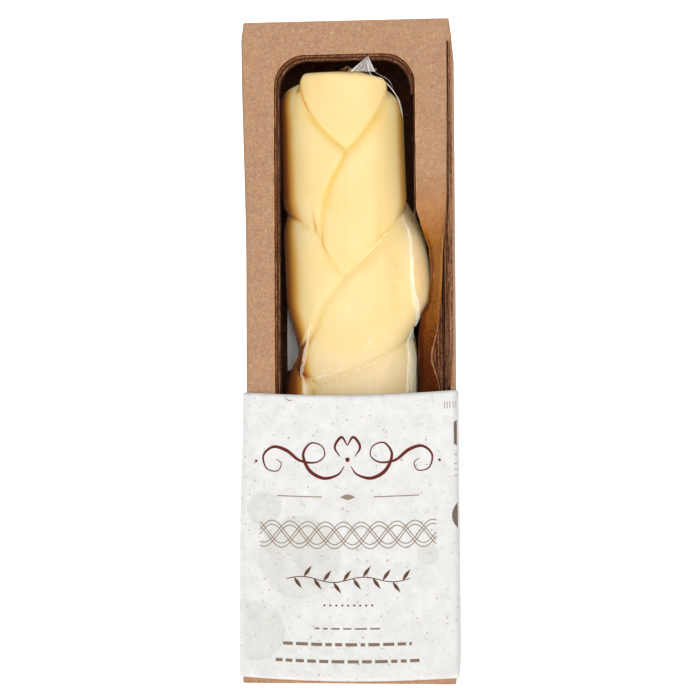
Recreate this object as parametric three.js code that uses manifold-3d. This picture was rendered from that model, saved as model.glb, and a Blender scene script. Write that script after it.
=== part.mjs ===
// A braided string cheese, vacuum packed in clear film, in its windowed kraft carton
// with a paper label sleeve round the lower half.
// Units are millimetres, +Z is up, the window faces -Y, and the origin is the middle
// of the carton's foot.

import * as THREE from 'three';
import { mergeVertices } from 'three/addons/utils/BufferGeometryUtils.js';
import Module from 'manifold-3d';

// ---------------------------------------------------------------- driving dimensions

const CARTON = { width: 57, depth: 38, height: 178, board: 0.7, foldRadius: 1.1 };
const GAP = 0.3;                       // clear air between touching sheets
const WINDOW = { left: -19.6, right: 18.8, bottom: 24, top: 169, radius: 8.6 };
const LINER_MARGIN = 0.6;              // how far the inner ply shows inside the window
const FRAME_MARGIN = 1.3;              // and the window frame behind it
const FRAME_SIDE = 24.9;               // half the width of that frame
const FLAP = { side: 24, foot: 168.2, board: 0.6 };
const LABEL = { foot: 1.6, head: 77.6, paper: 0.35, flare: 0.25, dip: 0.7, tilt: 0.009 };
const BRAID = {
  foot: 3.2, head: 166.6,
  halfWidth: 17.4, halfDepth: 12.2, squareness: 2.4,
  middleY: 1.0,
};
const FILM = 0.3;                      // thickness that the film adds to the cheese

// The middle strand's cut end, between two angles, stands proud of the strands beside it.
const CUT_END = { left: -43, right: 51, blend: 5, rim: 2.2, proud: 1.6 };

// The gathered corner of film leans forward over the braid's end and stands up in the
// window. Stations along it, each with its middle, and half its width.
const FILM_TIP = [
  { x: 3.6, y: -8.5, z: 166.9, halfWidth: 3.6 },
  { x: 3.8, y: -12.5, z: 166.2, halfWidth: 3.5 },
  { x: 4.3, y: -15.8, z: 165.9, halfWidth: 2.9 },
  { x: 5.2, y: -17.2, z: 166.6, halfWidth: 1.8 },
  { x: 6.0, y: -18.3, z: 168.0, halfWidth: 0.5 },
];
const FILM_TIP_THICKNESS = 0.5;

// The plies beside the right wall, from the wall inwards.
const PLY = { board: 0.65, back: 16.4, foot: 1.2, head: 172.6 };
const PLIES = [
  { leftFace: 25.85, front: -14.8 },
  { leftFace: 24.9, front: -12.6 },
  { leftFace: 23.95, front: -9.8 },
  { leftFace: 23.0, front: -8.2 },
];

// ---------------------------------------------------------------- small mathematics

const clamp = (value, low, high) => Math.min(Math.max(value, low), high);
const mix = (a, b, share) => a + (b - a) * share;

function ease(value, start, end) {
  const share = clamp((value - start) / (end - start), 0, 1);
  return share * share * (3 - 2 * share);
}

// A value read off a smooth curve through [place, value] pairs.
function along(pairs, place) {
  if (place <= pairs[0][0]) return pairs[0][1];
  for (let i = 1; i < pairs.length; i += 1) {
    if (place <= pairs[i][0]) {
      return mix(pairs[i - 1][1], pairs[i][1], ease(place, pairs[i - 1][0], pairs[i][0]));
    }
  }
  return pairs[pairs.length - 1][1];
}

// ---------------------------------------------------------------- closed grid surfaces

// Joins each loop of points to the next. The loops have equally many points, turn
// anticlockwise seen from above and are listed upwards on an outer face.
function wallTriangles(loops, triangles, closed) {
  const count = loops[0].length;
  const last = closed ? loops.length : loops.length - 1;
  for (let i = 0; i < last; i += 1) {
    const low = i * count;
    const high = ((i + 1) % loops.length) * count;
    for (let j = 0; j < count; j += 1) {
      const next = (j + 1) % count;
      triangles.push(low + j, low + next, high + next);
      triangles.push(low + j, high + next, high + j);
    }
  }
}

function geometryOf(points, triangles) {
  const geometry = new THREE.BufferGeometry();
  geometry.setAttribute('position', new THREE.Float32BufferAttribute(points.flat(), 3));
  geometry.setIndex(triangles);
  return geometry;
}

// A sheet that closes on itself all round: its loops go up the outside and down the
// inside, and the last one joins the first.
function sleeveGeometry(loops) {
  const triangles = [];
  wallTriangles(loops, triangles, true);
  return geometryOf(loops.flat(), triangles);
}

// A body closed by a fan over its lowest loop and another over its highest.
function cappedGeometry(loops) {
  const triangles = [];
  wallTriangles(loops, triangles, false);
  const points = loops.flat();
  const count = loops[0].length;
  const middle = (loop) => [0, 1, 2].map((k) => loop.reduce((sum, p) => sum + p[k], 0) / count);
  const foot = points.push(middle(loops[0])) - 1;
  const head = points.push(middle(loops[loops.length - 1])) - 1;
  const top = (loops.length - 1) * count;
  for (let j = 0; j < count; j += 1) {
    const next = (j + 1) % count;
    triangles.push(foot, next, j);
    triangles.push(head, top + j, top + next);
  }
  return geometryOf(points, triangles);
}

// ---------------------------------------------------------------- cuts and joins

const wasm = await Module();
wasm.setup();

function solid(geometry) {
  const bare = geometry.clone();
  bare.deleteAttribute('normal');
  bare.deleteAttribute('uv');
  const merged = mergeVertices(bare, 1e-5);
  return new wasm.Manifold(new wasm.Mesh({
    numProp: 3,
    vertProperties: new Float32Array(merged.attributes.position.array),
    triVerts: new Uint32Array(merged.index.array),
  }));
}

function geometryFrom(body) {
  const mesh = body.getMesh();
  const geometry = new THREE.BufferGeometry();
  geometry.setAttribute('position', new THREE.BufferAttribute(mesh.vertProperties, 3));
  geometry.setIndex(new THREE.BufferAttribute(mesh.triVerts, 1));
  return geometry;
}

function block(low, high) {
  const size = high.map((value, k) => value - low[k]);
  const geometry = new THREE.BoxGeometry(...size);
  geometry.translate(...high.map((value, k) => (value + low[k]) / 2));
  return solid(geometry);
}

// ---------------------------------------------------------------- folded board

// The left wall is drawn in a little at the waist, and both walls over the shoulder.
const SHOULDER = 4.5;

function wallX(side, z) {
  const waist = side < 0 ? 1.2 * (1 - ease(z, 110, 175)) * ease(z, 10, 75) : 0;
  const shoulder = 0.6 * ease(z, CARTON.height - SHOULDER, CARTON.height);
  return side * (CARTON.width / 2 - waist - shoulder);
}

// A rectangular loop with rounded corners, the wall's outer face moved in by inset. The
// flat stretch after each corner is divided into flatSteps.
function boardLoop(z, inset, corner = CARTON.foldRadius, grow = 0, flatSteps = 1) {
  const left = wallX(-1, z) + inset - grow;
  const right = wallX(1, z) - inset + grow;
  const half = CARTON.depth / 2 - inset + grow;
  const radius = Math.max(corner - inset, 0.25);
  const arcSteps = 3;
  const corners = [
    [right - radius, half - radius, 0],
    [left + radius, half - radius, 1],
    [left + radius, -half + radius, 2],
    [right - radius, -half + radius, 3],
  ];
  const arcs = corners.map(([x, y, quarter]) => (
    Array.from({ length: arcSteps + 1 }, (_, step) => {
      const angle = (quarter + step / arcSteps) * Math.PI / 2;
      return [x + radius * Math.cos(angle), y + radius * Math.sin(angle), z];
    })
  ));
  return arcs.flatMap((arc, i) => {
    const [x0, y0] = arc[arcSteps];
    const [x1, y1] = arcs[(i + 1) % arcs.length][0];
    const flat = Array.from({ length: flatSteps - 1 }, (_, step) => {
      const share = (step + 1) / flatSteps;
      return [mix(x0, x1, share), mix(y0, y1, share), z];
    });
    return [...arc, ...flat];
  });
}

function rows(low, high, count) {
  return Array.from({ length: count }, (_, i) => mix(low, high, i / (count - 1)));
}

// Four walls of board standing between two heights.
function boardSleeve(inset, foot, head, rowCount) {
  const heights = [...rows(foot, CARTON.height - SHOULDER, rowCount), head];
  const outside = heights.map((z) => boardLoop(z, inset));
  const inside = heights.map((z) => boardLoop(z, inset + CARTON.board)).reverse();
  return solid(sleeveGeometry([...outside, ...inside]));
}

// A round-cornered prism through the front wall, margin millimetres inside the window.
function windowCutter(margin) {
  const { left, right, bottom, top, radius } = WINDOW;
  const outline = new THREE.Shape();
  const r = radius - margin / 2;
  const [x0, x1, z0, z1] = [left + margin, right - margin, bottom + margin, top - margin];
  outline.moveTo(x0 + r, z0);
  outline.lineTo(x1 - r, z0);
  outline.absarc(x1 - r, z0 + r, r, -Math.PI / 2, 0);
  outline.absarc(x1 - r, z1 - r, r, 0, Math.PI / 2);
  outline.absarc(x0 + r, z1 - r, r, Math.PI / 2, Math.PI);
  outline.absarc(x0 + r, z0 + r, r, Math.PI, 1.5 * Math.PI);
  const geometry = new THREE.ExtrudeGeometry(outline, {
    depth: 12, bevelEnabled: false, curveSegments: 8,
  });
  geometry.rotateX(Math.PI / 2);
  geometry.translate(0, -CARTON.depth / 2 + 6, 0);
  return solid(geometry);
}

// ---------------------------------------------------------------- the turned-in strip

// The strip of front panel at the right of the window is torn free along its right edge.
// That edge has drawn in towards the window, and the braid's bulge has pushed the window
// edge of the strip back and aside, so that the strip stands aslant between the two.
// Each pair is a height and, there, an edge's place or how far the torn edge has sunk in.
const STRIP_EDGE_X = [
  [62, 27.1], [78, 24.6], [87, 22.6], [96, 24.25], [112, 25.05], [131, 26.9], [150, 27.1],
];
const STRIP_WINDOW_X = [
  [93, 18.8], [98, 19.4], [103, 21.5], [109.8, 22.3], [116, 21.9], [123, 19.8], [128, 18.8],
];
const STRIP_SINK = [[62, 0], [84, 1.8], [112, 1.8], [150, 0]];
const STRIP = { foot: 60, head: 156, edge: 27.1, bedFoot: 62, bedHead: 152 };

function tornStrip() {
  const across = [0, 0.33, 0.67, 1];
  const width = STRIP.edge - WINDOW.right;
  const loops = rows(STRIP.foot, STRIP.head, 33).map((z) => {
    const edgeX = along(STRIP_EDGE_X, z);
    const turn = Math.acos(clamp((edgeX - along(STRIP_WINDOW_X, z)) / width, 0, 1));
    const edgeY = -CARTON.depth / 2 + along(STRIP_SINK, z);
    const point = (share, into) => [
      edgeX - width * share * Math.cos(turn) + into * Math.sin(turn),
      edgeY + width * share * Math.sin(turn) + into * Math.cos(turn),
      z,
    ];
    const face = across.map((share) => point(1 - share, 0));
    const rear = across.map((share) => point(share, CARTON.board));
    return [...face, ...rear];
  });
  return solid(cappedGeometry(loops));
}

// ---------------------------------------------------------------- carton

function cartonGeometry() {
  const { depth, height, board } = CARTON;
  const front = -depth / 2;
  const walls = boardSleeve(0, 0, height, 15);
  const foot = block([-28.2, -18.7, 0], [28.2, 18.7, board]);
  // The lid is hinged on the back wall, and its flap is tucked in behind the front.
  const lid = block([-26.8, front + board + GAP, height - board], [26.8, depth / 2 - 0.3, height]);
  const flapY = front + 3 * (board + GAP);
  const flap = block([-FLAP.side, flapY, FLAP.foot], [FLAP.side, flapY + FLAP.board, height - 0.2]);
  const [outerFace, innerFace] = [front - 1, front + board + 0.1];
  const freeEdge = block([STRIP.edge + 0.1, outerFace, 79], [29, innerFace, 172]);
  const stripBed = block(
    [WINDOW.right - 0.01, outerFace, STRIP.bedFoot],
    [29, innerFace, STRIP.bedHead],
  );
  const panel = walls.subtract(windowCutter(0)).subtract(freeEdge).subtract(stripBed);
  return geometryFrom(panel.add(tornStrip()).add(foot).add(lid).add(flap));
}

// The inner ply lines the front, left, back and right walls behind the carton board.
function linerGeometry() {
  const { depth, height, board } = CARTON;
  const inset = board + GAP;
  const front = -depth / 2;
  const walls = boardSleeve(inset, board + GAP, height - board - GAP, 15);
  return geometryFrom(walls.subtract(windowCutter(LINER_MARGIN)).subtract(stripRoom()));
}

// Room in the inner plies for the strip that turns in.
function stripRoom() {
  const front = -CARTON.depth / 2;
  return block([WINDOW.right - 2, front, 56], [29, front + 3.4, 158]);
}

// A flat frame of board round the window, glued behind the inner ply.
function frameGeometry() {
  const { depth, height, board } = CARTON;
  const front = -depth / 2 + 2 * (board + GAP);
  const sheet = block([-FRAME_SIDE, front, 14], [FRAME_SIDE, front + board, height - 3]);
  return geometryFrom(sheet.subtract(windowCutter(FRAME_MARGIN)).subtract(stripRoom()));
}

// A loose ply standing against the right wall, with its raw edge to the front.
function plyGeometry({ leftFace, front }) {
  const { board, back, foot, head } = PLY;
  const loops = rows(foot, head, 9).map((z) => {
    const lean = 0.12 * Math.sin(z / 21 + leftFace);
    const [x0, x1] = [leftFace + lean, leftFace + lean + board];
    return [[x0, front, z], [x1, front, z], [x1, back, z], [x0, back, z]];
  });
  return cappedGeometry(loops);
}

// ---------------------------------------------------------------- label sleeve

function labelGeometry() {
  const { foot, head, paper, flare, dip, tilt } = LABEL;
  const heights = rows(0, 1, 9);
  const loopAt = (share, inset) => {
    const spread = GAP + paper + flare * (1 - share) ** 1.5;
    return boardLoop(mix(foot, head, share), inset, 1.6, spread, 6).map(([x, y, z]) => {
      const sag = dip * share * Math.cos(clamp(x / CARTON.width, -0.5, 0.5) * Math.PI);
      return [x, y, z - sag + tilt * x * share];
    });
  };
  const outside = heights.map((share) => loopAt(share, 0));
  const inside = heights.map((share) => loopAt(share, paper)).reverse();
  return sleeveGeometry([...outside, ...inside]);
}

// ---------------------------------------------------------------- braid

// A braid shows each strand as a run of overlapping leaves, each lying over the ones
// above it. A leaf comes round from one side (-1 left, 1 right) and ends in a tip.
// Angles are degrees round the braid from its front, heights and depths millimetres.
// edge: how the upper edge climbs from tip to side. reach, drop and sink: how far the
// leaf stands out at the side, rounds off at its edge and falls away below.
const LEAVES = [
  { side: -1, tip: 3, tipZ: 144.5, sideZ: 192, edge: 1.7, reach: 2.0, drop: 2.0, sink: 0.6 },
  { side: 1, tip: -34, tipZ: 121, sideZ: 169, edge: 0.52, reach: -0.1, drop: 2.0, sink: 2.2 },
  { side: -1, tip: -8, tipZ: 110, sideZ: 130.5, edge: 0.65, reach: 1.7, drop: 2.6, sink: 3.8 },
  { side: 1, tip: -62, tipZ: 86, sideZ: 131, edge: 0.57, reach: 4.9, drop: 7.6, sink: 6.6 },
  { side: -1, tip: -30, tipZ: 77, sideZ: 89.5, edge: 0.8, reach: 2.6, drop: 4.2, sink: 3.0 },
  { side: 1, tip: -54, tipZ: 80.5, sideZ: 96, edge: 0.95, reach: 0.3, drop: 1.8, sink: 2.0 },
  { side: -1, tip: -12, tipZ: 42, sideZ: 58, edge: 0.65, reach: 1.2, drop: 2.6, sink: 2.5 },
  { side: 1, tip: -50, tipZ: 20, sideZ: 60, edge: 0.6, reach: 1.0, drop: 2.6, sink: 2.5 },
  { side: -1, tip: -10, tipZ: 8, sideZ: 24, edge: 0.65, reach: 1.0, drop: 2.6, sink: 2.0 },
  { side: 1, tip: -50, tipZ: -14, sideZ: 26, edge: 0.6, reach: 0.6, drop: 2.6, sink: 2.0 },
];
const FRONT_LEAF = { drop: 1.7, round: 4.6, sink: 1.5 };
const SIDE_ANGLE = 85;                 // where a leaf's edge reaches sideZ
const SURFACE_SCALE = 0.26;            // millimetres of surface in a degree of turn
const TUCK = 0.7;                      // how steeply a leaf goes under the next

function edgeHeight(leaf, angle) {
  const share = Math.max((angle - leaf.tip) * leaf.side / (SIDE_ANGLE - leaf.tip * leaf.side), 0);
  const climb = share < 1 ? share ** leaf.edge : 1 + leaf.edge * (share - 1);
  return leaf.tipZ + (leaf.sideZ - leaf.tipZ) * climb;
}

function edgeRoute(leaf) {
  const end = 190 - leaf.tip * leaf.side;
  const route = [[leaf.tip * SURFACE_SCALE, leaf.tipZ - 60]];
  for (let i = 0; i <= 20; i += 1) {
    const angle = leaf.tip + leaf.side * end * (i / 20) ** 1.8;
    route.push([angle * SURFACE_SCALE, edgeHeight(leaf, angle)]);
  }
  return route;
}
LEAVES.forEach((leaf) => { leaf.route = edgeRoute(leaf); });

// How far a place lies inside the leaf's edge, along the surface; negative outside.
function insideEdge(leaf, angle, z) {
  const s = angle * SURFACE_SCALE;
  let nearest = Infinity;
  for (let i = 1; i < leaf.route.length; i += 1) {
    const [s0, z0] = leaf.route[i - 1];
    const [s1, z1] = leaf.route[i];
    const [ds, dz] = [s1 - s0, z1 - z0];
    const t = clamp(((s - s0) * ds + (z - z0) * dz) / (ds * ds + dz * dz), 0, 1);
    nearest = Math.min(nearest, Math.hypot(s - s0 - t * ds, z - z0 - t * dz));
  }
  const within = (angle - leaf.tip) * leaf.side > 0 && z < edgeHeight(leaf, angle);
  return within ? nearest : -nearest;
}

// The braid's radius at an angle and height: an oval with the leaves laid over it.
function braidRadius(angle, z) {
  const turn = THREE.MathUtils.degToRad(angle);
  const { halfWidth, halfDepth, squareness, head } = BRAID;
  const oval = (Math.abs(Math.sin(turn) / halfWidth) ** squareness
    + Math.abs(Math.cos(turn) / halfDepth) ** squareness) ** (-1 / squareness);
  let height = -0.9 * ((head - z) / 22) ** 2;
  for (const leaf of LEAVES) {
    const inside = insideEdge(leaf, angle, z);
    const sideways = clamp(Math.sin(turn) * leaf.side, 0, 1) ** 4;
    const drop = mix(FRONT_LEAF.drop, leaf.drop, sideways);
    const round = mix(FRONT_LEAF.round, 5 + 1.9 * leaf.drop, sideways);
    const sink = mix(FRONT_LEAF.sink, leaf.sink, sideways);
    const below = clamp((edgeHeight(leaf, angle) - z - 8) / 28, 0, 1.3);
    const own = leaf.reach * sideways - drop * (1 - clamp(inside / round, 0, 1)) ** 2.6
      - sink * below ** 2 + 3 * Math.min(inside, 0);
    height = Math.max(height - TUCK * clamp(inside, 0, 9), own);
  }
  return oval + mix(height, -1.5, ease(Math.abs(angle), 150, 180));
}

const braidMiddleX = (z) => along([[0, 0.5], [80, 1.0], [165, -1.6]], z);

// Loops of the braid's surface, grown outwards all over by the film.
function braidLoops(columns, bodyRows, capRows) {
  const angles = Array.from({ length: columns }, (_, i) => {
    const share = 2 * i / columns - 1;
    return 180 * (0.55 * share + 0.45 * share * Math.abs(share));
  });
  const shoulder = (s) => BRAID.head - 5 - 10 * Math.max(s, 0) ** 2 - 6 * Math.max(-s, 0) ** 2;
  const beside = (angle) => Math.max(
    ease(CUT_END.left - angle, -CUT_END.blend, CUT_END.blend),
    ease(angle - CUT_END.right, -CUT_END.blend, CUT_END.blend),
  );
  const capPower = 2 / 3.2;
  const shares = [
    ...rows(0, Math.PI / 2, capRows).slice(0, -1).map((phi) => ({ foot: phi })),
    ...rows(0, 1, bodyRows).map((up) => ({ up })),
    ...rows(0, Math.PI / 2, capRows).slice(1, -1).map((phi) => ({ head: phi })),
  ];
  return shares.map((row) => angles.map((angle) => {
    const turn = THREE.MathUtils.degToRad(angle);
    const s = Math.sin(turn);
    const low = BRAID.foot + 4;
    const high = mix(BRAID.head - CUT_END.rim, shoulder(s), beside(angle));
    const top = BRAID.head - beside(angle) * (CUT_END.proud + 1.2 * Math.max(s, 0) ** 2);
    let z = mix(low, high, row.up ?? 0);
    let shrink = 1;
    if (row.head !== undefined) {
      z = high + (top - high) * Math.sin(row.head) ** capPower;
      shrink = Math.cos(row.head) ** capPower;
    }
    if (row.foot !== undefined) {
      z = low - (low - BRAID.foot) * Math.cos(row.foot) ** capPower;
      shrink = Math.max(Math.sin(row.foot), 0.02) ** capPower;
    }
    const radius = (braidRadius(angle, z) + FILM) * shrink;
    return [braidMiddleX(z) + radius * s, BRAID.middleY - radius * Math.cos(turn), z];
  }));
}

// A sheet through the stations of the film's corner, thinned out at its sides.
function filmTipGeometry() {
  const around = 10;
  const loops = FILM_TIP.map(({ x, y, z, halfWidth }, i) => {
    const before = FILM_TIP[Math.max(i - 1, 0)];
    const after = FILM_TIP[Math.min(i + 1, FILM_TIP.length - 1)];
    const length = Math.hypot(after.y - before.y, after.z - before.z);
    const [outY, outZ] = [(after.z - before.z) / length, (before.y - after.y) / length];
    return Array.from({ length: around }, (_, step) => {
      const angle = step / around * 2 * Math.PI;
      const off = FILM_TIP_THICKNESS / 2 * Math.sin(angle);
      return [x + halfWidth * Math.cos(angle), y + off * outY, z + off * outZ];
    });
  });
  return cappedGeometry(loops);
}

// ---------------------------------------------------------------- the part

const kraft = { color: 0xb98a62, roughness: 0.9, metalness: 0 };

function piece(name, geometry, finish) {
  geometry.computeVertexNormals();
  const mesh = new THREE.Mesh(geometry, new THREE.MeshStandardMaterial(finish));
  mesh.name = name;
  return mesh;
}

const part = new THREE.Group();
part.add(piece('carton', cartonGeometry(), kraft));
part.add(piece('liner', linerGeometry(), { ...kraft, color: 0xa87850 }));
part.add(piece('window_frame', frameGeometry(), { ...kraft, color: 0x9a7050 }));
PLIES.forEach((ply, i) => {
  part.add(piece(`side_ply_${i + 1}`, plyGeometry(ply), { ...kraft, color: 0x8a6248 }));
});
part.add(piece('label', labelGeometry(), { color: 0xefece6, roughness: 0.85, metalness: 0 }));
const pouch = cappedGeometry(braidLoops(60, 58, 6));
part.add(piece('pouch', pouch, { color: 0xf4df9a, roughness: 0.35, metalness: 0 }));
part.add(piece('film_tip', filmTipGeometry(), { color: 0xdcdcdc, roughness: 0.2, metalness: 0 }));

export default part;
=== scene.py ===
import math

import bpy
import numpy as np
from mathutils import Matrix, Vector


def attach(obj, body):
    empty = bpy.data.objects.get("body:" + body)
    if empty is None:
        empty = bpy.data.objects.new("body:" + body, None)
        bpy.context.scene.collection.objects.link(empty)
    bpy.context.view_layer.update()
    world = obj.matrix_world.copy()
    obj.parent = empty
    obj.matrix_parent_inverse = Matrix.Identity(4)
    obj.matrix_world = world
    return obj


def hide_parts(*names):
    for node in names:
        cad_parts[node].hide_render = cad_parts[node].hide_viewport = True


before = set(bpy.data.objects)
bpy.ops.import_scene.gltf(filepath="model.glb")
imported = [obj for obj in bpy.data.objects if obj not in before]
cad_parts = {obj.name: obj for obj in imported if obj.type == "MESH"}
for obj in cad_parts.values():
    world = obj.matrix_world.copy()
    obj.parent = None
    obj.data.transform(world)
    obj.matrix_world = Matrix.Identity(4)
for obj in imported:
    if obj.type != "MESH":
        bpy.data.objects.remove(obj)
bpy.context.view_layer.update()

# ---------------------------------------------------------------- camera
# A long lens at arm's length. It stands a little to the right of the window and lower
# than the pack's middle, and looks up by two degrees.
MM = 0.001
EYE_DISTANCE = 480 * MM
EYE_AZIMUTH = math.radians(4.6)
EYE_ELEVATION = math.radians(-2.09)
EYE_ROLL = math.radians(-0.32)
AIM = Vector((-0.73, 0, 89.6)) * MM
SENSOR_WIDTH = 36
LENS = 88.38

back = Vector((
    math.sin(EYE_AZIMUTH) * math.cos(EYE_ELEVATION),
    -math.cos(EYE_AZIMUTH) * math.cos(EYE_ELEVATION),
    math.sin(EYE_ELEVATION),
))
level = Vector((math.cos(EYE_AZIMUTH), math.sin(EYE_AZIMUTH), 0))
upright = back.cross(level)
turned_right = level * math.cos(EYE_ROLL) + upright * math.sin(EYE_ROLL)
turned_up = upright * math.cos(EYE_ROLL) - level * math.sin(EYE_ROLL)

camera = bpy.data.objects.new("camera", bpy.data.cameras.new("camera"))
camera.data.sensor_width = SENSOR_WIDTH
camera.data.lens = LENS
camera.data.clip_start = 0.01
camera.matrix_world = Matrix.Translation(AIM + back * EYE_DISTANCE) @ Matrix(
    (turned_right, turned_up, back)
).transposed().to_4x4()
bpy.context.scene.collection.objects.link(camera)
bpy.context.scene.camera = camera

# ---------------------------------------------------------------- carton
# One folded sheet of uncoated brown kraft board with a die-cut window. Its pulp shows
# as a fine speckle with loose lighter and darker fibres. On the strip turned in beside the
# cheese, painted shade, warmed by painted light thrown back from the cheese, darkens the board
# downwards and inwards.


def paint(red, green, blue, alpha=1):
    """A shader colour from 8-bit display values: ((v + 0.055) / 1.055) ** 2.4."""
    shares = np.array([red, green, blue]) / 255
    light = np.where(shares <= 0.04045, shares / 12.92, ((shares + 0.055) / 1.055) ** 2.4)
    return (*light.tolist(), alpha)


def connect(material, value, socket):
    """Links a socket or a node's first output to the input, or sets a plain value."""
    if isinstance(value, bpy.types.Node):
        value = value.outputs[0]
    if isinstance(value, bpy.types.NodeSocket):
        material.node_tree.links.new(value, socket)
    else:
        socket.default_value = value


def node(material, kind, inputs=(), **settings):
    """A shader node with these settings, its inputs given by name or number."""
    made = material.node_tree.nodes.new("ShaderNode" + kind)
    for key, value in settings.items():
        setattr(made, key, value)
    for key, value in dict(inputs).items():
        connect(material, value, made.inputs[key])
    return made


def sums(material, operation, *values):
    """A Math node over up to three values."""
    return node(material, "Math", enumerate(values), operation=operation)


def product(material, first, *others):
    """Values multiplied together."""
    for other in others:
        first = sums(material, "MULTIPLY", first, other)
    return first


def span(material, value, start, end):
    """A value as a share from 0 at start to 1 at end."""
    return node(material, "MapRange", {"Value": value, 1: start, 2: end}).outputs[0]


def ramp(material, value, *stops):
    """A colour ramp through (place, colour) stops."""
    made = node(material, "ValToRGB", {"Fac": value})
    elements = made.color_ramp.elements
    while len(elements) < len(stops):
        elements.new(0.5)
    for element, (place, colour) in zip(elements, stops):
        element.position = place
        element.color = colour
    return made


def blend_colour(material, share, first, second, mode="MIX"):
    """The first colour turned to the second by a share from 0 to 1."""
    made = node(material, "Mix", {0: share}, data_type="RGBA", blend_type=mode)
    connect(material, first, made.inputs[6])
    connect(material, second, made.inputs[7])
    return made.outputs[2]


def flecked(material, colour, flecks, strength, tint):
    """A colour turned to the tint where there are flecks, at most as far as strength."""
    return blend_colour(material, product(material, flecks, strength), colour, tint)


def new_material(name, **sockets):
    """A node material, and its shader with these constants on its own sockets."""
    material = bpy.data.materials.new(name)
    material.use_nodes = True
    shader = material.node_tree.nodes["Principled BSDF"]
    for socket, value in sockets.items():
        shader.inputs[socket.replace("_", " ")].default_value = value
    return material, shader


def roughen(material, shader, strength, depth, height):
    """Turns the shader's normals by a height from 0 to 1 that is this many metres deep."""
    made = node(material, "Bump", {"Strength": strength, "Distance": depth, "Height": height})
    connect(material, made, shader.inputs["Normal"])


def places(material, scale):
    """Object coordinates multiplied by a scale per metre in each direction."""
    source = node(material, "TexCoord").outputs["Object"]
    return node(material, "Mapping", {"Vector": source, "Scale": scale})


def noise(material, vector, scale=1, detail=3, roughness=0.55, distortion=0):
    """Fractal noise from 0 to 1, in cells of 1 / scale."""
    return node(material, "TexNoise", {
        "Vector": vector, "Scale": scale, "Detail": detail, "Roughness": roughness,
        "Distortion": distortion,
    }).outputs["Fac"]


def threads(material, vector, scale, width, share):
    """Short hair lines: where one noise passes its middle, cut up by another noise."""
    line = noise(material, vector, scale, 2, 0.5, 0.4)
    near = sums(material, "ABSOLUTE", sums(material, "SUBTRACT", line, 0.5))
    thin = node(material, "MapRange", {"Value": near, 1: 0, 2: width, 3: 1, 4: 0})
    patch = noise(material, vector, scale * 1.7, 1)
    return product(material, thin, span(material, patch, share, share + 0.05))


STRIP_PAINTED_SHADE = (                        # how deep the painted shade is, and the tint it gives
    (0, (1, 1, 1, 1)), (0.3, (1, 0.7, 0.28, 1)), (0.4, (1, 0.66, 0.13, 1)),
    (0.62, (0.42, 0.15, 0.006, 1)), (1, (0.11, 0.018, 0.001, 1)),
)


def strip_painted_shade(material, speckle):
    """Painted shade on the turned-in strip, darker and redder downwards and inwards, warmed by
    painted light thrown back from the cheese, with all places in millimetres. The upper end of the
    painted shade is broken up by the speckle."""
    x, y, z = node(material, "SeparateXYZ", {
        "Vector": places(material, (1000, 1000, 1000))}).outputs
    light = product(material, span(material, z, 138, 118), 0.3)
    lower = sums(material, "MULTIPLY_ADD", span(material, z, 110, 84), 0.45, light)
    grainy = sums(material, "MULTIPLY_ADD", speckle, 1.4, sums(material, "SUBTRACT", lower, 0.7))
    lower = sums(material, "MULTIPLY_ADD", span(material, z, 138, 112), grainy,
                 product(material, span(material, z, 112, 138), lower))
    shade_share = sums(material, "MULTIPLY_ADD", span(material, y, -13.2, -10.2), 0.35, lower)
    on_strip = product(
        material, span(material, x, 17.6, 18.6), span(material, x, 27.6, 27.0),
        span(material, z, 56, 60), span(material, z, 160, 150), span(material, y, -9, -11))
    return ramp(material, product(material, shade_share, on_strip), *STRIP_PAINTED_SHADE)


def kraft(name, tan, shade, rough=0.9, painted_strip_shade=False):
    """Kraft board: fine pulp speckle, broad soft clouds, pale and dark loose fibres."""
    material, shader = new_material(name, Roughness=rough, Specular_IOR_Level=0.25)
    metres = places(material, (1, 1, 1))
    speckle = noise(material, metres, 2600, 3, 0.75)
    clouds = noise(material, metres, 170, 3)
    grain = noise(material, places(material, (1, 1, 0.6)), 900, 2)
    coarse = sums(material, "MULTIPLY_ADD", grain, 0.18, product(material, clouds, 0.1))
    mixed = sums(material, "MULTIPLY_ADD", speckle, 0.72, coarse)
    pulp = ramp(material, mixed, (0.4, shade), (0.6, tan))
    pale = threads(material, metres, 420, 0.012, 0.52)
    dark = threads(material, places(material, (1.2, 1.2, 0.8)), 380, 0.01, 0.58)
    colour = flecked(material, pulp, pale, 0.4, paint(236, 208, 180))
    colour = flecked(material, colour, dark, 0.55, paint(112, 78, 52))
    # Painted shade on the turned-in strip, warmed by painted light from the cheese.
    if painted_strip_shade:
        colour = blend_colour(material, 1.0, colour, strip_painted_shade(material, speckle), "MULTIPLY")
    connect(material, colour, shader.inputs["Base Color"])
    roughen(material, shader, 0.4, 0.00014, mixed)
    return material


def dress(piece_name, material):
    """Gives a CAD node its finish."""
    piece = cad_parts[piece_name]
    piece.data.materials.clear()
    piece.data.materials.append(material)


kraft_board = kraft("kraft_board", paint(197, 162, 132), paint(172, 136, 107), painted_strip_shade=True)
dress("carton", kraft_board)

# ---------------------------------------------------------------- inner plies
# The raw inner layers of the same board: the liner, the frame glued round the window and
# the loose layers at the right wall, rough where they are cut. Their darker colours are painted shade,
# as they lie inside the box.
liner_ply = kraft("liner_ply", paint(132, 87, 62), paint(82, 50, 34), rough=1)
for ply in ("liner", "window_frame"):
    dress(ply, liner_ply)
side_ply = kraft("side_ply", paint(158, 112, 86), paint(100, 62, 42), rough=1)
for ply in ("side_ply_1", "side_ply_2", "side_ply_3", "side_ply_4"):
    dress(ply, side_ply)

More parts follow.
